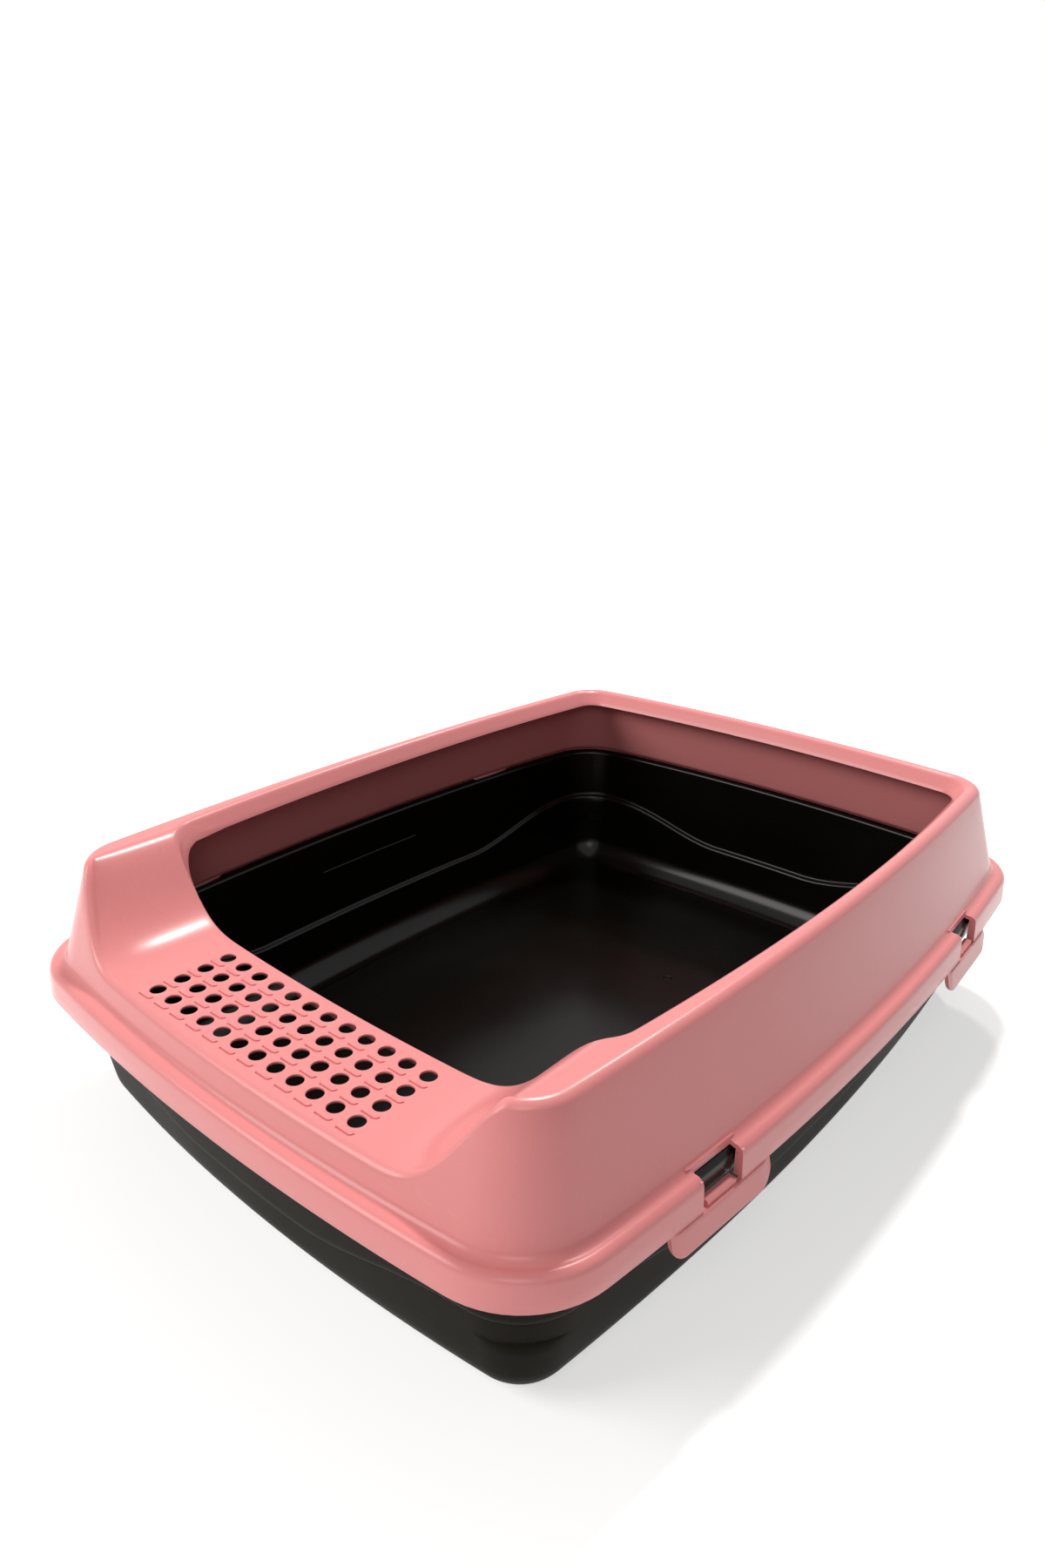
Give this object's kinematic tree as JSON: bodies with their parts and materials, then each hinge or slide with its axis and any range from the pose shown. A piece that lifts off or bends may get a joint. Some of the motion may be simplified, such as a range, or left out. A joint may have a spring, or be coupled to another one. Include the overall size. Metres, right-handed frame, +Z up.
{
  "type": "rimmed litter tray",
  "caption": "Open rectangular litter tray with a drop-on rim frame: high walls, turned-down lip, low perforated entry step and flexing snap clips along its sides.",
  "frame": {"origin": "on the floor under the middle of the rim frame", "axes": "+Z up, +Y along the length away from the entry step, which faces -Y, +X to the right seen from the entry"},
  "size_m": [0.4, 0.521, 0.1535],
  "materials": {
    "pink_plastic": "satin-gloss moulded plastic",
    "black_plastic": "glossy inside, satin outside, moulded plastic"
  },
  "bodies": {
    "tray": {"tray": "black_plastic"},
    "rim_frame": {"rim_frame": "pink_plastic"},
    "front_right_clip": {"front_right_clip": "pink_plastic"},
    "rear_right_clip": {"rear_right_clip": "pink_plastic"},
    "front_left_clip": {"front_left_clip": "pink_plastic"},
    "rear_left_clip": {"rear_left_clip": "pink_plastic"}
  },
  "joints": [
    {"name": "frame_lift", "type": "slide", "parent": "tray", "child": "rim_frame", "axis": [0, 0, 1], "range_m": [0, 0.06]},
    {"name": "front_right_clip_flex", "type": "hinge", "parent": "rim_frame", "child": "front_right_clip", "pos_m": [0.19304, -0.13886, 0.096], "axis": [-0.0714, -0.9974, 0], "range_deg": [0, 10], "stiffness_Nm_per_rad": 0.5},
    {"name": "rear_right_clip_flex", "type": "hinge", "parent": "rim_frame", "child": "rear_right_clip", "pos_m": [0.19353, 0.13186, 0.096], "axis": [0.0678, -0.9977, 0], "range_deg": [0, 10], "stiffness_Nm_per_rad": 0.5},
    {"name": "front_left_clip_flex", "type": "hinge", "parent": "rim_frame", "child": "front_left_clip", "pos_m": [-0.19304, -0.13886, 0.096], "axis": [-0.0714, 0.9974, 0], "range_deg": [0, 10], "stiffness_Nm_per_rad": 0.5},
    {"name": "rear_left_clip_flex", "type": "hinge", "parent": "rim_frame", "child": "rear_left_clip", "pos_m": [-0.19353, 0.13186, 0.096], "axis": [0.0678, 0.9977, 0], "range_deg": [0, 10], "stiffness_Nm_per_rad": 0.5}
  ]
}
